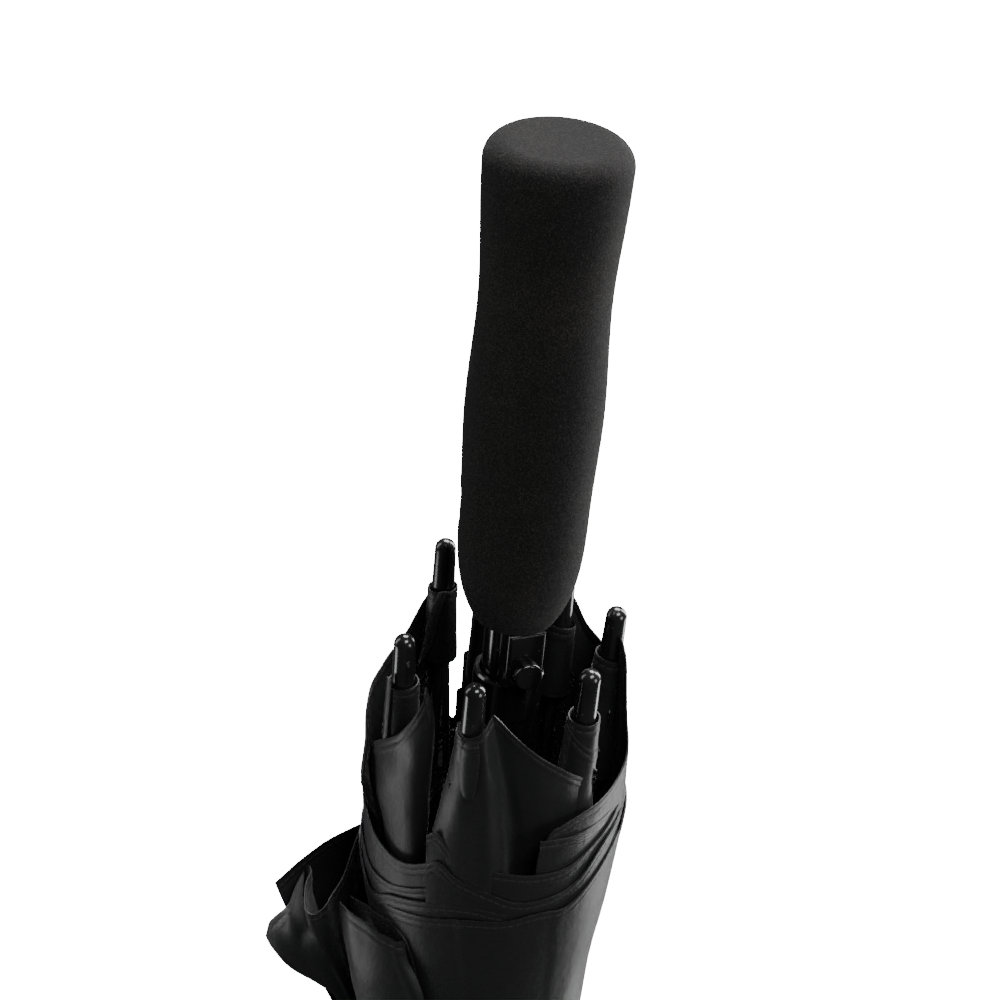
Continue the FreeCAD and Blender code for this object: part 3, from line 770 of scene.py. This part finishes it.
# rows of (bearing from rib_1 in degrees, drop, radius in mm), from the edge down: a cone round the tip
# cap, its right-hand fold, and the gore's hem running on to the right
FRONT_CONE = (
    ((-9, 17, 32.5), (-6.8, 16, 34.6), (-2.5, 17, 38.2), (3.5, 16, 38.9), (7.4, 13, 37.6), (9.0, 10.5, 35.8),
     (11.5, 10, 35.4), (21, 16, 35.5), (33, 23, 36), (49, 31, 36.5), (64, 38, 36)),
    ((-11, 30, 33), (-8.5, 28, 35.8), (-3, 27, 38.6), (5.5, 26, 39.6), (10.4, 24, 38.8), (12.2, 24, 36.6),
     (16, 27, 33.6), (26, 32, 34.2), (39, 39, 35.5), (54, 46, 36), (69, 53, 35)),
    ((-13.5, 45, 33), (-12, 45, 36), (-4.5, 44, 39), (5.5, 43, 40), (13, 40, 39.4), (15.7, 40, 37.4),
     (21.5, 44, 32), (31, 48, 33), (43, 53, 34.5), (58, 60, 34), (73, 66, 33)),
    ((-16, 60, 33.5), (-15.2, 60, 36.4), (-8, 61, 39), (5.5, 62, 40), (16, 59, 39.8), (19.5, 58, 38),
     (26.5, 63, 31), (38, 66, 31.5), (50, 69, 32), (64, 73, 32), (78, 78, 31.5)),
    ((-17, 96, 32), (-16, 96, 34), (-8, 96, 35), (5.5, 96, 35.5), (17, 96, 35.5), (21, 96, 34.5),
     (29, 96, 30.5), (40, 96, 30.5), (52, 96, 30.5), (65, 96, 30.5), (78, 96, 30.5)),
)

# the same from rib_8: a slack bag before its tip, whose hem climbs to the right of the cap
LEFT_BAG = (
    ((-24, 53, 38.5), (-16, 49, 40.4), (-3, 40, 39.8), (11, 32, 39.3), (18, 27, 39), (24, 20, 38),
     (27.5, 14, 37), (28.3, 11, 36.4), (27, 8.5, 35)),
    ((-21, 64, 37.5), (-14, 60, 39), (3, 51, 39.8), (14, 44, 39.6), (22, 38, 39.2), (28, 32, 38.2),
     (31.5, 26, 36.6), (33, 22, 35.4), (31, 18, 33)),
    ((-12, 78, 34), (-5, 73, 36), (8, 63, 38), (17, 58, 38.2), (24, 54, 38), (28.5, 51, 37),
     (30.5, 49, 35), (31, 46, 33), (29, 43, 31)),
    ((-4, 100, 31), (1, 98, 33), (10, 94, 34.5), (17, 92, 35), (23, 90, 34.6), (28, 88, 33.6),
     (30, 86, 32), (30, 84, 31), (28, 82, 30)),
)


# slack cloth standing off the roll to the left, all from rib_8: the pleat on the far side, the pleat
# that reaches furthest out, the fold that winds back to the roll, and the big flap with its lining
FAR_PLEAT = (
    ((-54, 91, 39), (-42, 95, 45), (-32, 98, 53), (-26, 104, 61), (-22, 112, 69)),
    ((-54, 103, 38), (-42, 106, 44), (-32, 109, 51), (-25, 115, 59), (-20, 121, 64.5)),
    ((-54, 126, 36), (-42, 128, 41), (-32, 130, 46), (-24, 134, 52), (-17, 138, 56)),
    ((-54, 160, 33), (-42, 160, 35), (-32, 160, 38), (-22, 162, 41), (-13, 164, 43)),
    ((-54, 186, 31.8), (-42, 186, 32.4), (-32, 186, 32.6), (-22, 186, 32.8), (-12, 186, 33)),
)
LOW_PLEAT = (
    ((-8, 120, 71), (-10, 117, 70), (-12, 116, 68), (-16, 115, 64), (-20, 111, 62), (-26, 108, 60)),
    ((-7, 123, 69.5), (-8, 121.5, 68), (-9, 120, 66), (-11, 118, 63), (-13, 114, 61), (-16, 110, 59.5)),
    ((-6, 129, 65.5), (-6, 128, 64), (-6, 126, 62), (-6, 123, 60), (-6, 118, 58.5), (-6, 112, 57.5)),
    ((-5.5, 145, 48.2), (-5.3, 144.6, 47.8), (-5, 144, 47.2), (-5, 143, 46.7), (-5, 142, 46.2),
     (-5, 141, 45.7)),
    ((-6, 165, 39.5), (-5.5, 165, 39.2), (-5, 165, 39), (-5, 165, 38.8), (-4.5, 165, 38.6), (-4, 165, 38.4)),
    ((-8, 186, 32.9), (-7, 186, 32.9), (-6, 186, 32.9), (-5, 186, 32.9), (-3, 186, 32.9), (-1, 186, 32.9)),
)
BACK_FOLD = (
    ((-32, 92, 44), (-24, 98, 45), (-18, 104, 47), (-12, 107, 50), (-5, 107.5, 54), (-2, 106.5, 57.5),
     (-3, 106, 59), (-8, 105, 59), (-15, 104, 58), (-20, 104, 57), (-24, 105, 58), (-26, 107, 60)),
    ((-32, 105, 43), (-24, 110, 44), (-18, 115, 46), (-12, 117, 48.5), (-5, 116, 52), (-2.5, 115, 55.5),
     (-3.5, 114, 57), (-8, 113, 57), (-14, 112, 56.5), (-19, 112, 56), (-22, 112, 57), (-24, 112, 58)),
    ((-31, 130, 40), (-23, 134, 41), (-17, 138, 41.5), (-11, 140, 42.5), (-6, 141, 43.5), (-4.5, 141, 45),
     (-5, 141, 46), (-7, 139, 46.5), (-9, 138, 46.8), (-12, 137, 47), (-14, 136, 47), (-16, 135, 47)),
    ((-30, 160, 35), (-23, 160, 35.5), (-18, 160, 36), (-13, 160, 36.5), (-8, 160, 37), (-6, 160, 37.6),
     (-6, 160, 38.2), (-8, 160, 38.5), (-9, 160, 38.6), (-11, 160, 38.8), (-13, 160, 39), (-15, 160, 39)),
    ((-30, 186, 32), (-24, 186, 32), (-19, 186, 32), (-14, 186, 32.2), (-10, 186, 32.4), (-8, 186, 32.6),
     (-8, 186, 32.7), (-9, 186, 32.8), (-10, 186, 32.8), (-11, 186, 32.9), (-13, 186, 33), (-15, 186, 33)),
)
BIG_FLAP = (
    ((-3.2, 103.5, 48.5), (4.9, 102.4, 47), (14.6, 102.1, 44.5), (19.9, 103, 43), (25.8, 103.5, 41),
     (28.7, 103.8, 40.3), (31, 103.3, 39)),
    ((0, 111, 48), (8, 110.5, 47.2), (16, 110, 45.4), (22, 109.5, 43.8), (28, 109.5, 42), (32, 109.5, 40.8),
     (34, 109, 39.2)),
    ((3.5, 119.5, 47), (11, 119, 46.5), (19, 118, 45), (26, 117, 43.2), (32, 116, 41.5), (36.5, 115, 40),
     (38, 114.5, 38)),
    ((5.7, 135.5, 44), (14, 134, 43.5), (22, 132, 42.5), (30, 130, 41), (37, 128, 39.5), (42, 126, 38.5),
     (44, 125, 37)),
    ((8, 160, 38), (17, 159, 38), (26, 158, 37.5), (34, 157, 37), (42, 156, 36.3), (48, 155, 35.6),
     (50, 154.5, 34.5)),
    ((10, 186, 33.4), (19, 186, 33.4), (28, 186, 33.3), (37, 186, 33.2), (45, 186, 33.1), (52, 186, 33),
     (55, 186, 32.6)),
)
FLAP_LINING = (
    ((-16.5, 110.2, 44), (-10, 108, 42), (-0.2, 104.1, 40), (10.5, 101.9, 39.2), (21, 100.3, 38.6),
     (31, 102.8, 38.6)),
    ((-14, 122, 42), (-8, 120, 41), (2, 116, 39.5), (13, 113, 38.6), (24, 111, 37.8), (35, 110, 37.4)),
    ((-8, 145, 38), (-2, 144, 37.5), (8, 142, 37), (19, 140, 36.6), (30, 138, 36.2), (42, 136, 36)),
    ((-6, 186, 32.6), (2, 186, 32.6), (12, 186, 32.6), (24, 186, 32.6), (36, 186, 32.6), (50, 186, 32.6)),
)


# the sewn pocket over the front tip's foot, from rib_1
FRONT_POCKET = (
    ((-6.5, 16.6, 36.4), (-1, 17.8, 39.0), (5.2, 16.2, 39.9)),
    ((-5.4, 22, 37.6), (0, 23.5, 39.7), (6.4, 22, 40.3)),
    ((-3.6, 28.5, 39), (1.2, 31, 40.5), (6.6, 29, 40.8)),
    ((-1, 35, 40), (2.6, 37.5, 41), (5.6, 37, 41.1)),
)


def tip_cloths():
    """Cloth that stands off the roll, by the front tip and down the left side."""
    draped("front_cone", FRONT_CONE, 0, 110, 26, 31)
    draped("front_pocket", FRONT_POCKET, 0, 24, 12, 38, wrinkle=0.15 * MM)
    draped("left_bag", LEFT_BAG, -1, 80, 22, 32)
    slack = (("far_pleat", FAR_PLEAT, 48, 26), ("low_pleat", LOW_PLEAT, 48, 30),
             ("back_fold", BACK_FOLD, 96, 26), ("big_flap", BIG_FLAP, 70, 30),
             ("flap_lining", FLAP_LINING, 60, 22))
    for seed, (name, rows, columns, row_count) in enumerate(slack, start=33):
        draped(name, rows, -1, columns, row_count, seed)


# ---- pockets and ribbons at the rib tips

SLEEVE_SIDES = 40
SLEEVE_ROWS = 8
SLEEVE_THICKNESS = 0.3 * MM
CAP_SHOWING = 16.5
POCKET_LENGTH = 26

# two binding ribbons: one hangs from rib_7's pocket, as (bearing from the rib, drop, radius), and one
# is sewn down rib_8's pocket, as (angle round the rib, drop, distance from it)
HANGING_RIBBON = (
    ((2.3, 5.5, 30.4), (9.8, 4, 30.4)),
    ((7, 12, 30.6), (16.3, 10, 30.6)),
    ((9.9, 22, 31), (19.9, 19.5, 31)),
    ((22.5, 28.5, 31.2), (24, 28, 31.2)),
)
SEWN_RIBBON = (
    ((0, 14, 5.4), (26, 14, 5.4)),
    ((1, 22, 5.9), (26, 22, 5.9)),
    ((2, 30, 6.2), (25, 30, 6.2)),
    ((3, 40, 6.5), (24, 40, 6.5)),
)
RIBBON_COLUMNS, RIBBON_ROWS = 7, 30


def ribbon(name, net, rib):
    """A narrow folded strip of cloth sewn to a tip pocket."""
    grid = smoothed(net, RIBBON_ROWS, RIBBON_COLUMNS)
    crown = 0.3 * MM * np.sin(np.linspace(0, math.pi, RIBBON_COLUMNS))[None, :]
    normals = grid_normals(grid)
    front = grid + normals * (crown + 0.12 * MM * rough(grid, 4 * MM, 81))[..., None]
    away = np.stack([path_length(grid, 1), path_length(grid, 1) + STITCH_DROP / 2], -1)
    piece = thin_solid(name, front, grid - 0.3 * MM * normals, grid_normals(front), uv_of(grid), away)
    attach(piece, rib.body)
    return piece


def beside_line(rows, rib):
    """Points in metres from rows of (angle round the rib, drop, distance from it)."""
    net = np.array(rows, float)
    angle = np.radians(net[..., 0])[..., None]
    return (rib.at(TIP_TOP - net[..., 1] * MM)
            + net[..., 2:] * MM * (np.cos(angle) * rib.outward + np.sin(angle) * rib.along))


def sleeve(name, rib, top, slant, facing, foot, radius, spread, seed):
    """A hemmed tube round a rib's end: top and foot are drops in mm, slant how far its rim leans
    over the tube and facing the bearing of the rim's low side, from the rib's own."""
    angle = np.linspace(0, TAU, SLEEVE_SIDES + 1)
    top_height = TIP_TOP - (top + slant * (1 + np.cos(angle - facing)) / 2) * MM
    depth = np.stack([below_hem(value - TIP_TOP + foot * MM, SLEEVE_ROWS) for value in top_height], 1)
    height = top_height[None, :] - depth
    share = (TIP_TOP - height) / (foot * MM)
    wide = (radius + spread * ease(0.3, 1.0, share)) * MM
    wide = wide + 0.35 * MM * rough(np.stack([np.cos(angle) + 0 * height, np.sin(angle) + 0 * height,
                                              height / (9 * MM)], -1), 1.0, seed)
    middle = rib.at(height)
    across = np.cos(angle)[None, :, None] * rib.outward + np.sin(angle)[None, :, None] * rib.along
    points = middle + wide[..., None] * across
    front, back, normals = hemmed(points, depth, seed, SLEEVE_THICKNESS)
    close_seam(normals)
    piece = thin_solid(name, front, back, normals, uv_of(points), hem_uv(front, depth))
    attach(piece, rib.body)
    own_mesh(piece)


def tip_sleeves():
    """Each rib tip sits in a hemmed pocket, and some pockets have a second, slanting fold."""
    ribbons = {
        6: [ribbon("hanging_ribbon", cloth_net(HANGING_RIBBON, tip_bearing(-2)), RIBS[6])],
        7: [ribbon("sewn_ribbon", beside_line(SEWN_RIBBON, RIBS[7]), RIBS[7])],
    }
    for index, rib in enumerate(RIBS):
        cap_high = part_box(f"rib_tip_{index + 1}")[1].z
        rim = (TIP_TOP - cap_high) / MM + CAP_SHOWING
        sleeve(f"tip_pocket_{index + 1}", rib, rim, 1.0, 0.0, rim + POCKET_LENGTH, 4.75, 0.9, 40 + index)
    sleeve("tip_fold_2", RIBS[1], CAP_SHOWING + 2.5, 8.5, math.radians(55), 62, 5.2, 1.6, 51)
    sleeve("tip_fold_3", RIBS[2], CAP_SHOWING + 3, 5, math.radians(-60), 60, 5.2, 1.8, 52)


# ---- tie strap

SNAP_BEARING = math.atan2(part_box("strap_snap")[1].x, -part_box("strap_snap")[0].y)
STRAP_BEARING = SNAP_BEARING - math.radians(6)
STRAP_OVERLAP = math.radians(34)
STRAP_RADIUS = 34.4 * MM
STRAP_LAP = 1.2 * MM
STRAP_THICKNESS = 0.8 * MM
STRAP_ROWS, STRAP_COLUMNS = 26, 220
# the snap cap's (radius, height) in mm, from the middle of its face to the middle of its back
SNAP_PROFILE = ((0, 1.9), (2.2, 1.9), (3.0, 1.5), (3.4, 0.9), (4.6, 0.9), (5.6, 1.3), (6.3, 1.0),
                (6.5, 0.2), (6.2, -0.5), (0, -0.5))
SNAP_SIDES = 48


def press_strap(piece):
    """The strap stays on its rib."""
    rib = RIBS[1]
    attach(piece, rib.body)
    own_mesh(piece)


def tie_strap():
    """A stitched band round the roll, whose free end laps over its start and snaps down."""
    start = STRAP_BEARING + STRAP_OVERLAP / 2 - TAU
    angle = np.linspace(start - STRAP_OVERLAP, start + TAU, STRAP_COLUMNS)
    depth = np.linspace(0, STRAP_HIGH - STRAP_LOW, STRAP_ROWS)[:, None] + 0 * angle[None, :]
    share = ease(start + TAU - 2 * STRAP_OVERLAP, start + TAU - STRAP_OVERLAP, angle)[None, :]
    edge = np.minimum(depth, depth[-1, 0] - depth)
    middle = bump_at(depth[-1, 0] / 2, 7 * MM, depth)
    ring = np.stack(np.broadcast_arrays(np.cos(angle), np.sin(angle), depth / (18 * MM)), -1)
    radius = STRAP_RADIUS + STRAP_LAP * share - 0.5 * MM * middle + 0.45 * MM * rough(ring, 0.22, 71)
    bead = 0.25 * MM * (1 - ease(1.2 * MM, 3.4 * MM, edge)) - 0.2 * MM * bump_at(STITCH_DROP, 0.5 * MM, edge)
    front, back = (np.stack([out * np.sin(angle), -out * np.cos(angle), STRAP_HIGH - depth], -1)
                   for out in (radius + bead, radius - STRAP_THICKNESS))
    along = path_length(front, 1)
    seams = np.stack([along, edge], -1)
    piece = thin_solid("strap_band", front, back, grid_normals(front), uv_of(front), seams)
    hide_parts("tie_strap")
    press_strap(piece)


def ring_faces(rings, sides):
    """Quads between rings of points that follow one another."""
    return [(row * sides + k, row * sides + (k + 1) % sides,
             (row + 1) * sides + (k + 1) % sides, (row + 1) * sides + k)
            for row in range(rings - 1) for k in range(sides)]


def turned_object(name, points, rings, sides, material):
    """An object from rings of points, with shared points joined and every face looking out."""
    mesh = bpy.data.meshes.new(name)
    mesh.from_pydata(points, [], ring_faces(rings, sides))
    cleaner = bmesh.new()
    cleaner.from_mesh(mesh)
    bmesh.ops.remove_doubles(cleaner, verts=cleaner.verts, dist=0.01 * MM)
    bmesh.ops.recalc_face_normals(cleaner, faces=cleaner.faces)
    cleaner.to_mesh(mesh)
    cleaner.free()
    mesh.polygons.foreach_set("use_smooth", [True] * len(mesh.polygons))
    mesh.materials.append(material)
    return placed(name, mesh)


def snap_cap():
    """The snap's turned cap, on the strap's free end."""
    angle = np.linspace(0, TAU, SNAP_SIDES, endpoint=False)
    out = np.array([math.sin(SNAP_BEARING), -math.cos(SNAP_BEARING), 0])
    side = np.array([math.cos(SNAP_BEARING), math.sin(SNAP_BEARING), 0])
    middle = out * (STRAP_RADIUS + STRAP_LAP + 0.6 * MM) + np.array([0, 0, STRAP_MIDDLE])
    radius, height = (np.array(SNAP_PROFILE) * MM).T[..., None, None]
    round_axis = np.cos(angle)[:, None] * side + np.sin(angle)[:, None] * np.array([0, 0, 1])
    points = middle + radius * round_axis + height * out
    piece = turned_object("snap_cap", points.reshape(-1, 3), len(SNAP_PROFILE), SNAP_SIDES,
                          MATERIALS["gloss_black_plastic"])
    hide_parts("strap_snap")
    press_strap(piece)


# ---- canopy panels

PANEL_START = 7 * MM
PANEL_LIFT = 2.7 * MM
POCKET_LIFT = 0.4 * MM
PANEL_ROWS = 34
PLEAT_HALVES = 33
NARROW_PLEAT = 0.35
HEM_SCALLOP = 46 * MM


def pleat_stops():
    """Places and bending weights of a panel's folds: narrow folds by the ribs, wider ones between."""
    k = np.arange(PLEAT_HALVES)
    width = NARROW_PLEAT + (1 - NARROW_PLEAT) * np.sin(math.pi * (k + 0.5) / PLEAT_HALVES)
    width[0] = width[-1] = width[0] / 2
    back = np.where(k % 2 == 1, width, 0)
    stops = np.concatenate([[0], np.cumsum(width)]) / width.sum()
    weights = np.concatenate([[0], np.cumsum(back)]) / back.sum()
    return stops, weights


def cap_reach(index):
    """Distance from a rib's hinge to the foot of its tip cap."""
    rib = RIBS[index]
    cap_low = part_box(f"rib_tip_{index + 1}")[0].z
    return float((cap_low - rib.foot[2]) / rib.line[2]) + 2 * MM


def panel(index):
    """One gore of the canopy. It is drawn as it lies open, then folded back between its ribs."""
    following = (index + 1) % RIB_COUNT
    near, far = RIBS[index], RIBS[following]
    stops, weights = pleat_stops()
    place = np.sort(np.concatenate([stops, (stops[:-1] + stops[1:]) / 2]))
    weight = np.interp(place, stops, weights)
    first, last = cap_reach(index), cap_reach(following)
    reach = first + (last - first) * place - HEM_SCALLOP * 4 * place * (1 - place)
    depth = np.stack([below_hem(value - PANEL_START, PANEL_ROWS) for value in reach], 1)
    distance = reach[None, :] - depth
    points = open_surface(near, far, place, distance)
    front, back, _ = hemmed(points, depth, 60 + index)
    spread = JOINTS[f"gore_{index + 1}_spread"]
    angle = RATIOS[f"gore_{index + 1}_spread"] * STROKE
    grids = [turned(near.shut(grid), spread, -weight * angle) for grid in (front, back)]
    piece = thin_solid(f"canopy_panel_{index + 1}", *grids, grid_normals(grids[0]), uv_of(points),
                       hem_uv(points, depth))
    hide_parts(f"canopy_gore_{index + 1}")
    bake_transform(piece)


def open_surface(near, far, place, distance):
    """Points of the open canopy between two ribs, which sags between them."""
    lift = PANEL_LIFT + POCKET_LIFT * ease(CANOPY_REACH - 60 * MM, CANOPY_REACH - 25 * MM, distance)
    rims = []
    for rib in (near, far):
        start = rib.foot + distance[..., None] * (rib.turn @ rib.line)
        rims.append(start + lift[..., None] * (rib.turn @ rib.outward))
    outer = unit(np.cross(far.turn @ far.line, near.turn @ near.line))
    sag = SAG_SHARE * distance * 4 * place * (1 - place)
    return rims[0] + place[None, :, None] * (rims[1] - rims[0]) - sag[..., None] * outer


def turned(points, joint, angle):
    """Points turned about a joint's axis, each column by its own angle."""
    axis, pivot = np.array(joint["axis"]), np.array(joint["pos_m"])
    arm = points - pivot
    cosine, sine = np.cos(angle)[None, :, None], np.sin(angle)[None, :, None]
    return (pivot + arm * cosine + np.cross(axis, arm) * sine
            + axis * (arm @ axis)[..., None] * (1 - cosine))


# ---- stage, light and camera

FLOOR_GLOW = 25.0
# (radius, height) of the floor and backdrop, in metres
BACKDROP = ((0.0, 0.0), (3.0, 0.0), (7.0, 0.0), (9.0, 0.3), (10.5, 1.2), (11.4, 3.0), (11.6, 6.0),
            (10.5, 9.0), (7.0, 11.3), (3.0, 12.0), (0.0, 12.1))
BACKDROP_SIDES = 64


def stage_surroundings():
    """A pale floor that curves up into a plain backdrop, too far off to show in the gloss."""
    nodes = Nodes("pale_floor")
    colour = nodes.colour(nodes.noise(1.5, 2), grey(0.80), grey(0.84))
    socket(nodes.shader, Emission_Color=(1, 1, 1, 1), Emission_Strength=FLOOR_GLOW)
    nodes.link(colour, nodes.shader.inputs["Base Color"])
    turns = [TAU * k / BACKDROP_SIDES for k in range(BACKDROP_SIDES)]
    points = [(radius * math.cos(turn), radius * math.sin(turn), height)
              for radius, height in BACKDROP for turn in turns]
    floor = turned_object("floor", points, len(BACKDROP), BACKDROP_SIDES, nodes.material)
    floor.visible_glossy = False
    floor.visible_diffuse = False
    floor.visible_shadow = False


def softbox(name, place, size, power):
    """A lamp of this size in metres that faces the middle of the view."""
    light = bpy.data.lights.new(name, "AREA")
    light.shape = "RECTANGLE"
    light.size, light.size_y = size
    light.energy = power
    lamp = placed(name, light)
    lamp.location = place
    lamp.rotation_euler = (Vector(LIT_MIDDLE) - Vector(place)).to_track_quat("-Z", "Y").to_euler()


# name: (place, size, watts)
SOFTBOXES = {
    "left_box": ((-1.15, 0.15, 1.2), (0.4, 1.2), 5.2),
    "left_low_box": ((-0.85, -0.08, 0.12), (0.4, 0.4), 2.2),
    "right_box": ((0.9, 0.75, 1.2), (0.45, 1.2), 24),
    "right_low_box": ((0.9, 0.46, 0.15), (0.4, 0.5), 4.5),
    "right_front_box": ((1.1, -0.65, 0.95), (0.5, 0.5), 5),
    "top_box": ((0.1, 0.7, 2.0), (0.9, 0.6), 38),
    "front_box": ((0.5, -0.8, 2.2), (0.9, 0.6), 20),
}
LIT_MIDDLE = (0, 0, 0.80)


def light_studio():
    for name, (place, size, power) in SOFTBOXES.items():
        softbox(name, place, size, power)
    world = bpy.data.worlds.new("studio")
    bpy.context.scene.world = world
    world.use_nodes = True
    socket(world.node_tree.nodes["Background"], Color=(0.9, 0.92, 0.95, 1), Strength=0.08)


CAMERA_PLACE = (0.0, -0.66187, 1.273135)
CAMERA_PITCH = 0.549188
CAMERA_YAW = -0.0112
CAMERA_ROLL = 0.093104
CAMERA_LENS = 94.89


def place_camera():
    """Looks down on the grip end from the front."""
    data = bpy.data.cameras.new("camera")
    data.lens = CAMERA_LENS
    data.sensor_width = 36
    camera = placed("camera", data)
    turn = (Matrix.Rotation(-CAMERA_YAW, 4, "Z") @ Matrix.Rotation(math.pi / 2 - CAMERA_PITCH, 4, "X")
            @ Matrix.Rotation(CAMERA_ROLL, 4, "Z"))
    camera.matrix_world = Matrix.Translation(CAMERA_PLACE) @ turn
    bpy.context.scene.camera = camera


# ---- making

place_camera()
dress_cad_nodes()
for index in range(RIB_COUNT):
    panel(index)
crown_cloth()
outer_turn()
rolled_turns()
tip_cloths()
tip_sleeves()
tie_strap()
snap_cap()
stage_surroundings()
light_studio()
